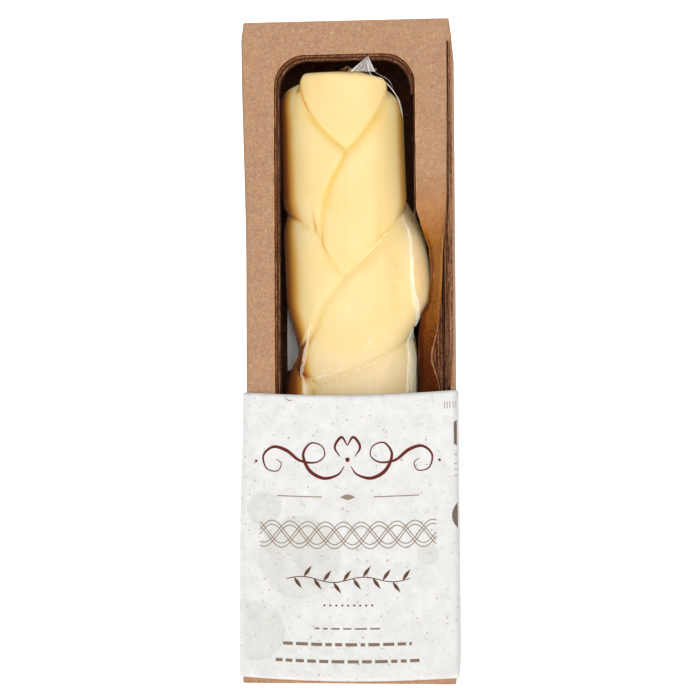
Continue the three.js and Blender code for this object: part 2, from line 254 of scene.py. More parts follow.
# ---------------------------------------------------------------- cut and torn edges
# Where the board is cut or torn its core shows: a pale burr along the die cut and along
# the torn strip, and crumpled purple-brown layers round the window and at the right wall.
FRONT = -19.0                          # millimetres, as all sizes of the board
WINDOW_LEFT, WINDOW_RIGHT, WINDOW_FOOT, WINDOW_HEAD, WINDOW_RADIUS = -19.6, 18.8, 24, 169, 8.6
STRIP_WIDTH = 8.3
# Places along the strip, each after its height: x of the torn edge, x of the window edge
# and how far the torn edge lies behind the front.
STRIP_EDGE = ((62, 27.1), (78, 24.6), (87, 22.6), (96, 24.25), (112, 25.05), (131, 26.9),
              (150, 27.1))
STRIP_INSIDE = ((93, 18.8), (98, 19.4), (103, 21.5), (109.8, 22.3), (116, 21.9), (123, 19.8),
                (128, 18.8))
STRIP_SINK = ((62, 0), (84, 1.8), (112, 1.8), (150, 0))


def ease(value, start, end):
    """A smooth step from 0 at start to 1 at end: 3s^2 - 2s^3 of the share s."""
    share = np.clip((value - start) / (end - start), 0, 1)
    return share * share * (3 - 2 * share)


def along(pairs, place):
    """A smooth curve through (place, value) pairs: a sum of eased steps."""
    value = np.full(np.shape(place), float(pairs[0][1]))
    for (start, before), (end, after) in zip(pairs, pairs[1:]):
        value = value + (after - before) * ease(place, start, end)
    return value


def curve(points, count):
    """Places evenly along the Catmull-Rom curve through the points.

    0.5 (2b + (c - a) u + (2a - 5b + 4c - d) u^2 + (3b - a - 3c + d) u^3)"""
    points = np.array(points, float)
    ends = (2 * points[:1] - points[1:2], points, 2 * points[-1:] - points[-2:-1])
    padded = np.concatenate(ends)
    t = np.linspace(0, len(points) - 1, count)
    step = np.minimum(t.astype(int), len(points) - 2)
    u = (t - step)[:, None]
    a, b, c, d = (padded[step + k] for k in range(4))
    return 0.5 * (2 * b + (c - a) * u + (2 * a - 5 * b + 4 * c - d) * u ** 2
                  + (3 * b - a - 3 * c + d) * u ** 3)


def unit(vectors):
    """The vectors at length 1."""
    return vectors / np.maximum(np.linalg.norm(vectors, axis=-1, keepdims=True), 1e-12)


def bead(path, out, half_width, height, around=8):
    """A strip along a path, as rows of an ellipse lying across it: one axis goes
    sideways by half_width, the other outwards by height."""
    forward = unit(np.gradient(path, axis=0))
    across = unit(np.cross(forward, np.broadcast_to(out, path.shape)))
    lift = np.cross(across, forward)
    phi = np.linspace(0, 2 * np.pi, around, endpoint=False)[None, :, None]
    wide = np.broadcast_to(half_width, len(path))[:, None, None]
    high = np.broadcast_to(height, len(path))[:, None, None]
    sideways = across[:, None] * wide * np.cos(phi)
    return path[:, None] + sideways - lift[:, None] * high * np.sin(phi)


def wander(count, length, seed):
    """Smooth random numbers of about -1 to 1, one for each place, turning every length."""
    knots = np.random.default_rng(seed).normal(0, 0.6, count // length + 4)
    return curve(knots[:, None], count)[:, 0]


def new_piece(name, points, faces, material, smooth=True):
    """A mesh piece, given in millimetres, riding on the pack's one body."""
    mesh = bpy.data.meshes.new(name)
    mesh.from_pydata((np.reshape(points, (-1, 3)) * MM).tolist(), [], faces)
    mesh.materials.append(material)
    mesh.polygons.foreach_set("use_smooth", np.full(len(mesh.polygons), smooth))
    piece = bpy.data.objects.new(name, mesh)
    bpy.context.scene.collection.objects.link(piece)
    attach(piece, "root")
    return piece


def grid_faces(rows, columns, round_columns, round_rows=False):
    """Quads joining each row of a grid to the next one up."""
    row, column = np.mgrid[0:rows - (not round_rows), 0:columns - (not round_columns)]
    up, across = (row + 1) % rows, (column + 1) % columns
    corners = [row * columns + column, row * columns + across,
               up * columns + across, up * columns + column]
    return np.stack(corners, -1).reshape(-1, 4).tolist()


def domed_piece(name, grids, material, smooth=True):
    """Closed grids in one mesh, the first and last row of each joined by a fan."""
    points, faces, start = [], [], 0
    for grid in grids:
        rows, columns = grid.shape[:2]
        flat = np.concatenate([grid.reshape(-1, 3), [grid[0].mean(0), grid[-1].mean(0)]])
        foot, head = start + rows * columns, start + rows * columns + 1
        first = start + np.arange(columns)
        after = start + (np.arange(columns) + 1) % columns
        top = (rows - 1) * columns
        faces += (np.array(grid_faces(rows, columns, True)) + start).tolist()
        faces += np.stack([np.full(columns, foot), after, first], -1).tolist()
        faces += np.stack([np.full(columns, head), first + top, after + top], -1).tolist()
        points.append(flat)
        start += len(flat)
    return new_piece(name, np.concatenate(points), faces, material, smooth)


def give_attribute(piece, name, values):
    """A number on each vertex, padded with zeros for the poles."""
    padded = np.zeros(len(piece.data.vertices), np.float32)
    padded[:values.size] = values.ravel()
    piece.data.attributes.new(name, "FLOAT", "POINT").data.foreach_set("value", padded)


def attribute(material, name):
    """Reads a number from the vertices."""
    return node(material, "Attribute", attribute_name=name).outputs["Fac"]


def strip_edge(z, share):
    """A place on the turned-in strip: share 0 at its torn edge, 1 at its window edge."""
    edge_x = along(STRIP_EDGE, z)
    turn = np.arccos(np.clip((edge_x - along(STRIP_INSIDE, z)) / STRIP_WIDTH, 0, 1))
    reach = STRIP_WIDTH * share
    return np.stack([edge_x - reach * np.cos(turn),
                     FRONT + along(STRIP_SINK, z) + reach * np.sin(turn), z], -1)


def window_path(margin, y, count):
    """The window's outline moved inwards by a margin: a rounded rectangle, from its foot
    up the right side."""
    radius = WINDOW_RADIUS - margin / 2
    steps = 12                         # in each corner
    bend = np.linspace(0, np.pi / 2, steps)
    turn = np.concatenate([bend + k * np.pi / 2 for k in range(-1, 3)] + [[1.5 * np.pi]])
    right = np.append(np.repeat([1, 1, 0, 0], steps), 1)
    high = np.append(np.repeat([0, 1, 1, 0], steps), 0)
    x = np.where(right, WINDOW_RIGHT - margin - radius, WINDOW_LEFT + margin + radius)
    z = np.where(high, WINDOW_HEAD - margin - radius, WINDOW_FOOT + margin + radius)
    x, z = x + radius * np.cos(turn), z + radius * np.sin(turn)
    length = np.append(0, np.cumsum(np.hypot(np.diff(x), np.diff(z))))
    place = np.linspace(0, length[-1], count)
    return np.stack([np.interp(place, length, x), 0 * place + y, np.interp(place, length, z)], -1)


def raw_edge(name, dark, light, lines):
    """Cut board seen on its edge: rough layers running along it, with painted light and shade from a
    tone.
    """
    material, shader = new_material(name, Roughness=1.0, Specular_IOR_Level=0.15)
    metres = places(material, (1, 1, 1))
    rough = noise(material, metres, 1500, 3, 0.7)
    layer = noise(material, places(material, lines), 1, 2, 0.6)
    mixed = sums(material, "MULTIPLY_ADD", layer, 0.6, product(material, rough, 0.4))
    core = ramp(material, mixed, (0.4, dark), (0.6, light))
    toned = blend_colour(material, 1.0, core, attribute(material, "tone_and_shade"), "MULTIPLY")
    connect(material, toned, shader.inputs["Base Color"])
    roughen(material, shader, 0.8, 0.0002, mixed)
    return material


def edge_piece(name, strips, tones_and_shades, material):
    """Strips of cut edge in one piece, each with its own tone of painted light and shade."""
    piece = domed_piece(name, strips, material)
    sizes = [strip.shape[0] * strip.shape[1] + 2 for strip in strips]
    give_attribute(piece, "tone_and_shade", np.repeat(np.asarray(tones_and_shades, float), sizes))
    return piece


pale_cut = raw_edge("pale_cut", paint(194, 144, 104), paint(222, 178, 138), (900, 900, 300))
core_cut = raw_edge("core_cut", paint(108, 64, 40), paint(192, 142, 106), (2600, 2600, 120))
OUTWARD = np.array([0, -1.0, 0])

# The burr follows the window, and at the strip it goes with the strip's own edge until
# that runs in behind the cheese.
STRIP_HEAD, BURR_FOOT, PATH_STEPS = 152, 122.5, 900
burr = window_path(0, FRONT - 0.02, PATH_STEPS)
at_strip = (burr[:, 0] > 0) & (burr[:, 2] < STRIP_HEAD)
burr = np.where(at_strip[:, None], strip_edge(burr[:, 2], 1.0), burr)
burr = burr[(burr[:, 2] > BURR_FOOT) | (burr[:, 0] < 0)]
count = len(burr)
window_burr = edge_piece("window_burr", [
    bead(burr, OUTWARD, 0.13 + 0.05 * wander(count, 6, 11), 0.07 + 0.02 * wander(count, 5, 12)),
], [1.0], pale_cut)

# Behind it lie the window's inner layers: distance in from the burr, y, half width, and a tone of
# painted shade, lowest for layers that lie in gaps.
RIM_LAYERS = ((0.18, -18.02, 0.12, 0.62), (0.44, -18.0, 0.16, 0.9), (0.8, -17.0, 0.14, 0.42),
              (1.12, -16.98, 0.17, 0.75), (1.42, -16.6, 0.14, 0.3))
rim_layers = []
for step, (margin, depth, width, _) in enumerate(RIM_LAYERS):
    path = window_path(margin, depth, PATH_STEPS)
    right_foot = BURR_FOOT if margin < 0.5 else 158
    path = path[(path[:, 2] > right_foot) | ((path[:, 0] < 0) & (path[:, 2] > 60))]
    count = len(path)
    path[:, 1] += 0.12 * wander(count, 5, 20 + step)
    slim = 1 - 0.55 * ease(path[:, 0], 14, 18)
    rim_layers.append(bead(path, OUTWARD, (width + 0.06 * wander(count, 4, 30 + step)) * slim,
                           0.1 + 0.05 * wander(count, 3, 40 + step)))
rim = edge_piece("window_rim_layers", rim_layers, [tone_and_shade for _, _, _, tone_and_shade in RIM_LAYERS], core_cut)

# The torn edge of the strip keeps a thin lip of split fibres, widest where it has drawn in
# most. A few loose crumbs of fibre hang at the window's head.
LIP_STEPS, CRUMB_STEPS = 420, 24
height = np.linspace(61, 153, LIP_STEPS)
lip_width = along(((61, 0.1), (80, 0.12), (86, 0.3), (91, 0.24), (96, 0.12)), height)
lip = strip_edge(height, 0.0) + np.array([0.05, -0.05, 0])
CRUMBS = ([(0.2, -15.0, 164.9), (0.9, -15.3, 165.5), (1.6, -15.2, 165.3)],
          [(-0.6, -14.8, 165.6), (0.1, -15.1, 166.2), (0.9, -15.0, 165.8)],
          [(-1.7, -14.6, 165.3), (-1.0, -14.9, 165.7), (-0.3, -14.8, 165.4)])
torn = [bead(lip, OUTWARD, lip_width * (1 + 0.35 * wander(LIP_STEPS, 4, 51)),
             0.09 + 0.03 * wander(LIP_STEPS, 3, 52))]
torn += [bead(curve(crumb, CRUMB_STEPS), OUTWARD, 0.2 + 0.08 * wander(CRUMB_STEPS, 4, 53 + k), 0.14)
         for k, crumb in enumerate(CRUMBS)]
torn_lip = edge_piece("torn_lip", torn, [0.54, 0.5, 0.36, 0.3], pale_cut)

# The right wall and its loose layers end in raw edges: x, y, foot, head, half width, and a tone that
# paints shade in the gap behind the strip and light on the deep layers.
WALL_EDGES = ((28.28, -18.24, 79, 171.5, 0.2, 1.0), (27.9, -18.2, 79, 171.5, 0.14, 0.9),
              (27.4, -17.3, 79, 171, 0.17, 1.05), (26.95, -17.1, 60, 171, 0.2, 0.62),
              (26.5, -16.6, 60, 171, 0.24, 0.85), (25.9, -14.9, 60, 171, 0.4, 0.34),
              (25.2, -14.2, 60, 171, 0.42, 1.0), (24.4, -13.2, 60, 171, 0.44, 1.4),
              (23.5, -12.2, 60, 171, 0.44, 1.5))
EDGE_STEPS = 360
wall_layers = []
for step, (x, y, foot, head, width, _) in enumerate(WALL_EDGES):
    z = np.linspace(foot, head, EDGE_STEPS)
    x = x + 0.05 * wander(EDGE_STEPS, 7, 60 + step)
    y = y + 0.1 * wander(EDGE_STEPS, 5, 70 + step)
    width = width * (1 + 0.22 * wander(EDGE_STEPS, 4, 80 + step))
    height = 0.14 + 0.05 * wander(EDGE_STEPS, 3, 90 + step)
    wall_layers.append(bead(np.stack([x, y, z], -1), OUTWARD, width, height))
wall_edges = edge_piece("wall_edge_layers", wall_layers, [edge[5] for edge in WALL_EDGES], core_cut)

# ---------------------------------------------------------------- cheese braid
# Three strands of pulled curd plaited while warm, with the cut end at the top. Each strand
# shows as a run of leaves, every one laid over the ones above it.
FOOT, HEAD = 3.2, 166.6                # millimetres, as all sizes of the braid
HALF_WIDTH, HALF_DEPTH, SQUARENESS = 17.4, 12.2, 2.8
MIDDLE_Y = 1.0
MIDDLE_X = ((0, 0.5), (80, 1.0), (165, -1.6))   # height, place
BULGE = ((95, 0), (107, 1), (119, 1), (130, 0))   # height, share of its full swell
# Each leaf: which side it climbs to, how far it stands out there, how deep its edge step
# and its foot fall away, and its upper edge as (degrees round, height) from tip to side.
LEAVES = [
    (-1, 1.4, 2.0, 4.2, [(3.9, 144.5), (-10.6, 147), (-30.6, 151.8), (-44, 158), (-50, 165),
                         (-60, 177), (-85, 192), (-190, 250)]),
    (1, -1.4, 2.0, 3.5, [(-37.4, 122), (-36.2, 126), (-32.5, 130.3), (-24.2, 135.3), (-11.3, 140.1),
                         (3.9, 144.5), (14.7, 146.8), (30.7, 151.6), (43, 157), (50, 162),
                         (62, 166), (85, 170), (190, 190)]),
    (-1, 1.5, 2.6, 2.0, [(-8.1, 110.2), (-18.3, 113.5), (-29.7, 117.4), (-38.5, 121.2), (-52.1, 124.2),
                         (-64.6, 127), (-86, 130), (-190, 146)]),
    (1, 4.6, 8.4, 6.4, [(-74, 87), (-64, 90.7), (-52.4, 94.1), (-44.8, 98.4), (-36.5, 102.7),
                        (-22.5, 106.8), (-8.1, 110.2), (15.1, 114), (34, 119), (54.4, 123.8),
                        (67.1, 127), (80.3, 129.6), (190, 150)]),
    (-1, 2.6, 3.4, 3.0, [(-30, 77), (-40, 80.2), (-55, 83), (-85, 87.2), (-190, 102)]),
    (1, -0.4, 1.8, 2.0, [(-54, 80.5), (-40, 81), (-22.5, 82.3), (-5.1, 84), (20.7, 86.5),
                        (40.1, 89), (60.9, 91.8), (85, 94.5), (190, 110)]),
    (-1, 1.2, 2.6, 2.5, [(-12, 42), (-30, 47.5), (-55, 53), (-85, 58), (-190, 72)]),
    (1, 1.0, 2.6, 2.5, [(-50, 20), (-20, 35), (20, 46), (60, 55), (85, 60), (190, 78)]),
    (-1, 1.0, 2.6, 2.0, [(-10, 8), (-30, 13.5), (-55, 19), (-85, 24), (-190, 40)]),
    (1, 0.6, 2.6, 2.0, [(-50, -14), (-20, 1), (20, 12), (60, 21), (85, 26), (190, 44)]),
]
CUT_END = (-50, 51)                    # degrees between which the cut end stands proud
CUT_RIM, CUT_PROUD = 2.2, 1.6
FRONT_DROP, FRONT_ROUNDING, FRONT_SINK = 1.7, 4.6, 0.9   # a leaf's step where it faces forward
TUCK = 0.7                             # how steeply a leaf goes under the next
CREASE_REACH = 2.2                     # the difference in height over which a crease fades
SURFACE_SCALE = 0.26                   # millimetres of surface in a degree of turn
COLUMNS, ROWS = 288, 336               # of the braid's grid


def inside_edge(side, edge, angle, z):
    """A leaf's edge height at each angle, and the signed distance over the surface to the
    edge, positive within the leaf. The edge is drawn on straight down from its tip."""
    turns, heights = curve(edge, 5 * len(edge)).T
    edge_z = np.interp(angle * side, turns * side, heights)
    route_s = np.append(turns[0], turns) * SURFACE_SCALE
    route_z = np.append(heights[0] - 60, heights)
    s = angle * SURFACE_SCALE
    nearest = np.full(np.shape(z), np.inf)   # distance to the route, over its straight pieces
    for s0, z0, s1, z1 in zip(route_s, route_z, route_s[1:], route_z[1:]):
        ds, dz = s1 - s0, z1 - z0
        t = np.clip(((s - s0) * ds + (z - z0) * dz) / (ds * ds + dz * dz), 0, 1)
        nearest = np.minimum(nearest, np.hypot(s - s0 - t * ds, z - z0 - t * dz))
    within = ((angle - turns[0]) * side > 0) & (z < edge_z)
    return edge_z, np.where(within, nearest, -nearest)


def braid_relief(angle, z, softness):
    """Height of the leaves over the oval, and how near a place is to a crease.

    Each leaf rises from its edge by a rounded step and falls away below. The next leaf
    is laid over it by a smooth maximum: m + k ln(e^((a - m)/k) + e^((b - m)/k))."""
    turn = np.radians(angle)
    lower = (HEAD - z) / 22
    height = -0.9 * lower ** 2 - 1.5 * np.maximum(lower - 1, 0) ** 2
    crease = np.zeros_like(height)
    for side, reach, side_drop, side_sink, edge in LEAVES:
        edge_z, inside = inside_edge(side, edge, angle, z)
        sideways = np.clip(np.sin(turn) * side, 0, 1) ** 4
        drop = FRONT_DROP + (side_drop - FRONT_DROP) * sideways
        rounding = FRONT_ROUNDING + (0.4 + 1.9 * side_drop) * sideways
        sink = FRONT_SINK + (side_sink - FRONT_SINK) * sideways
        fall = 1.6 * ease(np.minimum(edge_z, HEAD - 10) - z, 24.5, 41.5)
        own = (reach * sideways - drop * (1 - np.clip(inside / rounding, 0, 1)) ** 2.6
               - sink * fall + 3 * np.minimum(inside, 0))
        under = height - TUCK * np.clip(inside, 0, 9)
        step = np.abs(own - under)
        high = np.maximum(own, under)
        height = high + softness * np.log1p(np.exp(-step / softness))
        crease = np.where(own > under, 0, crease)
        crease = np.maximum(crease, np.exp(-(step / CREASE_REACH) ** 2))
    return height, crease


def braid_point(angle, z, softness, lift=0, shrink=1):
    """Places on the braid, and their crease share. Radius = superellipse oval + leaf
    relief + lift, the braid's middle wanders sideways with its height, and the bulge at
    the right swells forward too."""
    turn = np.radians(angle)
    side, ahead = np.sin(turn), np.cos(turn)
    oval = (np.abs(side / HALF_WIDTH) ** SQUARENESS
            + np.abs(ahead / HALF_DEPTH) ** SQUARENESS) ** (-1 / SQUARENESS)
    relief, crease = braid_relief(angle, z, softness)
    behind = ease(np.abs(angle), 150, 180)
    radius = (oval + relief * (1 - behind) - 1.5 * behind + lift) * shrink
    swell = 4.5 * ease(radius * side, 9, 18) * along(BULGE, z)
    place = [along(MIDDLE_X, z) + radius * side, MIDDLE_Y - radius * ahead - swell, z]
    return np.stack(place, -1), crease


def braid_surface(columns, rows, softness, film):
    """Rows of points round the braid, their crease shares and their angles.

    The ends are superellipse domes: height and radius there follow sin^p and cos^p of
    one angle. The cut end's dome is lower and sharper than the strands' beside it."""
    share = np.linspace(-1, 1, columns, endpoint=False)
    angle = 180 * (0.45 * share + 0.55 * share * np.abs(share))
    side = np.sin(np.radians(angle))
    right = np.maximum(side, 0)
    low = FOOT + 4
    shoulder = HEAD - 5 - 8.5 * right ** 2 - 7 * np.maximum(-side, 0) ** 2
    beside = np.maximum(ease(CUT_END[0] - angle, -5, 5), ease(angle - CUT_END[1], -5, 5))
    slant = 1.5 * ease(angle, 18, 50) * (1 - beside)
    high = HEAD - CUT_RIM + (shoulder - HEAD + CUT_RIM) * beside - slant
    top = HEAD - beside * (CUT_PROUD + 1.2 * right ** 2) - slant
    power = 2 / (3.2 - 0.6 * beside * right)
    dome = rows // 12
    phi = np.linspace(0, np.pi / 2, dome + 1)[:, None]
    body = np.linspace(0, 1, rows - 2 * dome)[:, None]
    body = 0.35 * body + 0.65 * (1 - (1 - body) ** 1.6)
    z = np.concatenate([
        low - (low - FOOT) * np.cos(phi[:-1]) ** power + 0 * side,
        low + (high - low) * body,
        high + (top - high) * np.sin(phi[1:]) ** power,
    ])
    shrink = np.concatenate([
        np.maximum(np.sin(phi[:-1]), 0.002) ** power + 0 * side,
        1 + 0 * body * side,
        np.maximum(np.cos(phi[1:]), 0.002) ** power + 0 * side,
    ])
    angles = angle + 0 * z
    points, crease = braid_point(angles, z, softness, film, shrink)
    return points, crease * shrink ** 6, angles


def facing(points):
    """Outward unit normals of a grid that closes on itself in its rows."""
    round_step = np.roll(points, -1, 1) - np.roll(points, 1, 1)
    return unit(np.cross(round_step, np.gradient(points, axis=0)))


def pulled_curd():
    """Cheese: a soft fibrous mottle, with painted golden shade in the creases and painted brown
    shade on its sides. The sides lose their pale sheen where that painted shade is deep."""
    material, shader = new_material(
        "pulled_curd", Roughness=0.5, Specular_IOR_Level=0.35, Subsurface_Weight=0.15,
        Subsurface_Scale=0.008, Diffuse_Roughness=1.0, Sheen_Roughness=0.5,
        Coat_Weight=0.15, Coat_Roughness=0.3)
    shader.inputs["Sheen Tint"].default_value = paint(255, 232, 150)
    shader.inputs["Subsurface Radius"].default_value = (1.0, 0.75, 0.45)
    mottle = noise(material, places(material, (1, 1, 1)), 65, 3)
    strings = noise(material, places(material, (1, 1, 0.12)), 700, 3)
    mixed = sums(material, "MULTIPLY_ADD", mottle, 0.7, product(material, strings, 0.3))
    colour = ramp(material, mixed, (0.35, paint(245, 222, 160)), (0.65, paint(247, 230, 185)))
    crease, side_shade = attribute(material, "crease"), attribute(material, "side_shade")
    # Painted shade in the creases: a wide golden tint and a thin darker line.
    crease_shade, line = sums(material, "POWER", crease, 2.5), sums(material, "POWER", crease, 14.0)
    colour = flecked(material, colour, crease_shade, 0.75, paint(240, 214, 102))
    colour = flecked(material, colour, line, 0.5, paint(228, 190, 72))
    # Painted shade on the sides, brown where they turn away most; the sheen fades with it.
    side_shade_tint = ramp(material, side_shade, (0, (1, 1, 1, 1)), (0.25, paint(246, 210, 128)),
                 (0.6, paint(184, 108, 14)), (1, paint(116, 50, 0)))
    colour = blend_colour(material, 1.0, colour, side_shade_tint, "MULTIPLY")
    connect(material, colour, shader.inputs["Base Color"])
    sheen = sums(material, "MULTIPLY_ADD", side_shade, -0.7, 0.7)
    connect(material, sheen, shader.inputs["Sheen Weight"])
    roughen(material, shader, 0.2, 0.0001, sums(material, "MULTIPLY_ADD", strings, 0.4, mottle))
    return material


points, crease, angles = braid_surface(COLUMNS, ROWS, softness=0.42, film=0)
braid = domed_piece("braid", [points], pulled_curd())
sideways, height = facing(points)[..., 0], points[..., 2]
# How strong the painted crease shade is at each height.
golden = along(((60, 0.6), (118, 0.75), (138, 1.0), (152, 1.0), (160, 0.4)), height)
give_attribute(braid, "crease", crease * golden)
# Painted shade on the cheese's sides: where the left side turns away, more widely low down, and a
# little at the upper right edge.
turned_least = 0.4 - 0.3 * ease(-angles, 42, 58) * ease(height, 93, 80)
on_left = ease(-sideways, turned_least, 1.0) * ease(-angles, 20, 44)
on_left = on_left * along(((86, 1.0), (98, 0.72), (124, 0.72), (134, 1.0)), height)
on_right = 0.3 * ease(sideways, 0.75, 1.0) * ease(height, 118, 132)
give_attribute(braid, "side_shade", np.maximum(on_left, on_right))
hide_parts("pouch")

# ---------------------------------------------------------------- film skin
# Clear vacuum film shrunk tight on the cheese. It bridges the creases between strands and
# is finely wrinkled there.


def ripples(s, z, count, longest, shortest, seed):
    """Sharp-crested ripples: a sum of 1 - |sin| waves of falling length, turned at random."""
    draw = np.random.default_rng(seed)
    total = np.zeros_like(z)
    for step in range(count):
        length = longest * (shortest / longest) ** (step / max(count - 1, 1))
        heading, start = draw.uniform(0, np.pi), draw.uniform(0, np.pi)
        wave = np.sin((s * np.cos(heading) + z * np.sin(heading)) * np.pi / length + start)
        total += (1 - np.abs(wave)) * length / longest
    return total / count


def let_light_through(*pieces):
    """Thin film scatters light on to what lies behind it, so it casts no shadow."""
    for piece in pieces:
        piece.visible_shadow = False


def clear_film(name, haze, whitened, rough=0.28, milk=paint(244, 240, 236)):
    """Thin clear film: see-through where faced, milky where it is folded on itself. Haze
    is its least cover and whitened how much a full fold adds."""
    material, shader = new_material(
        name, Base_Color=milk, Roughness=rough, Specular_IOR_Level=0.5, Diffuse_Roughness=1.0)
    fold = attribute(material, "fold")
    rim = node(material, "LayerWeight", {"Blend": 0.3}).outputs["Facing"]
    thick = sums(material, "MULTIPLY_ADD", sums(material, "POWER", rim, 4.0), 0.05, haze)
    streak = noise(material, places(material, (1, 1, 0.25)), 900, 3, 0.6, 0.5)
    milky = product(material, fold, sums(material, "MULTIPLY_ADD", streak, 0.8, 0.6))
    shown = sums(material, "MULTIPLY_ADD", milky, whitened, thick)
    connect(material, sums(material, "MINIMUM", shown, 0.95), shader.inputs["Alpha"])
    ripple = noise(material, places(material, (1, 1, 0.5)), 300, 3, 0.5, 0.6)
    roughen(material, shader, 0.35, 0.0002, ripple)
    return material


skin_film = clear_film("skin_film", 0.02, 0.5)
FILM_SOFTNESS, FILM_LIFT = 0.9, 0.3    # millimetres: how far it rounds creases off, its lift
points, crease, angles = braid_surface(COLUMNS, ROWS, FILM_SOFTNESS, FILM_LIFT)
wrinkle = ripples(angles * SURFACE_SCALE, points[..., 2], 7, 9, 1.6, 4) * (0.12 + crease)
points = points + facing(points) * (wrinkle * 0.2)[..., None]
skin = domed_piece("film_skin", [points], skin_film)
# Painted light: extra milky film over the right bulge's side brightens it.
painted_light_bulge = ease(angles, 46, 72) * ease(points[..., 2], 92, 98) * ease(points[..., 2], 130, 124)
hazy_foot = ease(angles, -46, -34) * ease(points[..., 2], 92, 84)
give_attribute(skin, "fold", 0.16 * crease ** 6 + 0.3 * np.maximum(painted_light_bulge, 1.3 * hazy_foot))
let_light_through(skin)
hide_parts("pouch")

# ---------------------------------------------------------------- film folds
# Where the shrunk film has spare width it lies doubled in milky pleats: long ones down the
# right side, short ones in the creases, and webs across the notches at the sides.
# Each pleat: how far it turns to the window, its whiteness, (degrees round, height, half width).
PLEATS = [
    (0.75, 0.8, [(71, 127.7, 0.08), (67.8, 124.7, 0.16), (65.3, 121, 0.4), (60.9, 116.7, 0.5),
                 (58.5, 111, 0.6), (58.5, 105.5, 0.72), (59.7, 100.7, 0.78), (62.2, 97.5, 0.5),
                 (66, 95.7, 0.15)]),
    (0.7, 0.8, [(61.5, 95.4, 0.08), (62, 92.5, 0.3), (60.3, 87.8, 0.36), (57.9, 82.4, 0.4),
                (57.3, 77, 0.42)]),
    (0.7, 0.4, [(65.3, 95.3, 0.08), (67, 92.6, 0.45), (64, 87.8, 0.52), (62.4, 82.3, 0.56),
                (62.2, 77, 0.58)]),
    (0.8, 0.9, [(75.6, 92.6, 0.08), (71.6, 89.3, 0.26), (68.6, 83.7, 0.3), (68.4, 77, 0.32)]),
    (0.8, 0.7, [(-44.3, 97.7, 0.06), (-47.6, 94.4, 0.24), (-49.2, 90.5, 0.42), (-52.1, 86.5, 0.5),
                (-55.2, 83.1, 0.42), (-55.6, 81.4, 0.16)]),
    (0.5, 0.9, [(-55, 82, 0.1), (-52.7, 79.9, 0.6), (-51.5, 78, 0.75), (-50.9, 76, 0.6)]),
    (0.3, 0.45, [(-52.7, 81.4, 0.08), (-42.2, 81.6, 0.2), (-33.5, 82.3, 0.16),
                 (-24.2, 83.2, 0.1), (-17, 83.6, 0.04)]),
    (0.4, 0.4, [(-56, 125, 0.04), (-49, 123.5, 0.12), (-42.7, 122.1, 0.18), (-38, 120, 0.1),
                (-32.5, 117.4, 0.05)]),
    (0.3, 0.5, [(5.8, 112.4, 0.05), (19.9, 114.9, 0.14), (32, 117.6, 0.2), (43.2, 120.3, 0.16),
                (52.1, 122.3, 0.05)]),
    (0.0, 0.4, [(13.2, 89.8, 0.05), (17.4, 90.1, 0.2), (20.3, 91.4, 0.22), (20.7, 92.6, 0.05)]),
    (0.0, 0.25, [(1.1, 102.7, 0.04), (-3.5, 101, 0.14), (-8.5, 98.6, 0.04)]),
    (0.0, 0.25, [(-14.7, 99.5, 0.04), (-19.1, 97.7, 0.14), (-23.8, 95.9, 0.04)]),
    (0.3, 0.3, [(44.8, 111.6, 0.04), (50.4, 111.6, 0.12), (55.6, 111, 0.05)]),
    (0.3, 0.3, [(44.8, 108.2, 0.04), (50.4, 107.8, 0.14), (55.6, 106.2, 0.05)]),
    (0.3, 0.3, [(47, 105.5, 0.04), (51.5, 104.5, 0.12), (55.6, 102.8, 0.04)]),
]
PLEAT_AROUND = 10                      # points round a pleat


def pleat_strip(turned, stations, count, seed):
    """A flat pleat along its stations. One edge lies on the film, the other stands off as
    the pleat turns from the surface towards the window."""
    angle, z, width = curve(stations, count).T
    lift = FILM_LIFT + 0.06
    path, _ = braid_point(angle, z, FILM_SOFTNESS, lift)
    beside, _ = braid_point(angle + 1, z, FILM_SOFTNESS, lift)
    above, _ = braid_point(angle, z + 0.5, FILM_SOFTNESS, lift)
    slope = unit(np.cross(beside - path, above - path))
    out = unit(slope * (1 - turned) + OUTWARD * turned)
    width = np.maximum(width, 0.03) * (1 + 0.2 * wander(count, 6, seed))
    across = unit(np.cross(unit(np.gradient(path, axis=0)), out))
    stand = np.clip(3 * (across * slope).sum(-1), -1, 1) * width
    return bead(path + across * stand[:, None], out, width, 0.09, PLEAT_AROUND)


fold_film = clear_film("fold_film", 0.04, 0.48, 0.3, paint(255, 252, 240))
strips = [pleat_strip(turned, stations, 14 * len(stations), 101 + step)
          for step, (turned, _, stations) in enumerate(PLEATS)]
folds = domed_piece("film_folds", strips, fold_film)
phi = np.linspace(0, 2 * np.pi, PLEAT_AROUND, endpoint=False)
edge_white = 0.6 + 0.4 * np.cos(phi) ** 2
give_attribute(folds, "fold", np.concatenate([
    np.append(np.broadcast_to(white * edge_white, strip.shape[:2]).ravel(), [0.3, 0.3])
    for strip, (_, white, _) in zip(strips, PLEATS)]))
let_light_through(folds)


WEB_ROWS, WEB_COLUMNS = 24, 10


def web(outer, inner, bulge):
    """A web over the notch between two strands: a sheet from an outer edge to an inner
    one, bowed a little, and its thin back."""
    outer, inner = curve(outer, WEB_ROWS), curve(inner, WEB_ROWS)
    share = np.linspace(0, 1, WEB_COLUMNS)[None, :, None]
    face = outer[:, None] * (1 - share) + inner[:, None] * share
    face = face + np.array([0, bulge, 0]) * np.sin(share * np.pi)
    return np.concatenate([face, face[:, ::-1] + np.array([0, 0.08, 0])], 1)


